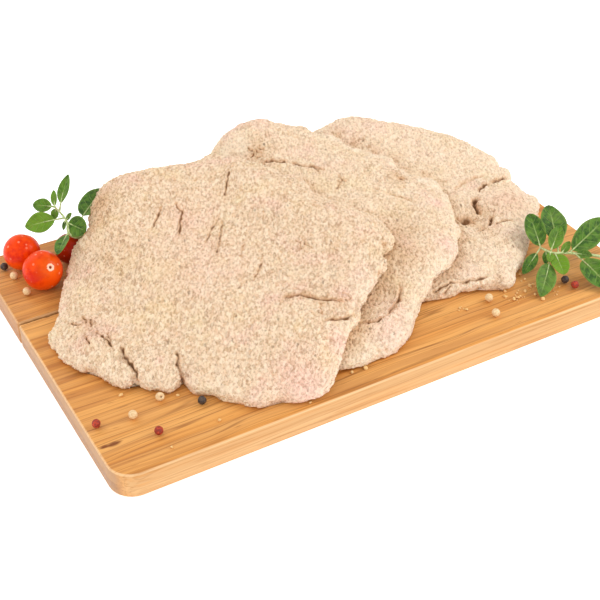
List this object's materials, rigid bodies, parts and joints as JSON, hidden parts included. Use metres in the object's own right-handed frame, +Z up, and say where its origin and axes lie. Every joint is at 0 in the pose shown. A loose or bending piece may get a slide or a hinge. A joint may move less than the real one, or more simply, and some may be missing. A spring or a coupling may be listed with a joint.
{
  "type": "raw breaded schnitzels on a wooden board",
  "caption": "Raw breaded schnitzels fanned out on a rectangular two-plank bamboo board, with cherry tomatoes, oregano sprigs and loose peppercorns.",
  "frame": {"origin": "centre of the board's underside", "axes": "+X along the board and its grain, from the tomatoes' end to the rear schnitzel's end, +Y from the board's front edge to its back edge, +Z up"},
  "size_m": [0.351, 0.2375, 0.0605],
  "materials": {
    "bamboo": "oiled bamboo, satin",
    "breadcrumbs": "dry pale breadcrumb coating over raw meat",
    "tomato_skin": "glossy ripe tomato skin",
    "oregano": "fresh green leaves, soft sheen",
    "white_pepper": "dry and matt",
    "red_pepper": "dry and slightly glossy",
    "black_pepper": "dry and wrinkled"
  },
  "bodies": {
    "root": {"board_front_plank": "bamboo", "board_rear_plank": "bamboo", "schnitzel_rear": "breadcrumbs", "schnitzel_middle": "breadcrumbs", "schnitzel_front": "breadcrumbs", "tomato_front": "tomato_skin", "tomato_left": "tomato_skin", "tomato_rear": "tomato_skin", "oregano_left": "oregano", "oregano_right": "oregano", "peppercorn_white_1": "white_pepper", "peppercorn_white_2": "white_pepper", "peppercorn_white_3": "white_pepper", "peppercorn_white_4": "white_pepper", "peppercorn_white_5": "white_pepper", "peppercorn_white_6": "white_pepper", "peppercorn_red_1": "red_pepper", "peppercorn_red_2": "red_pepper", "peppercorn_red_3": "red_pepper", "peppercorn_black_1": "black_pepper", "peppercorn_black_2": "black_pepper", "peppercorn_black_3": "black_pepper"}
  },
  "joints": []
}
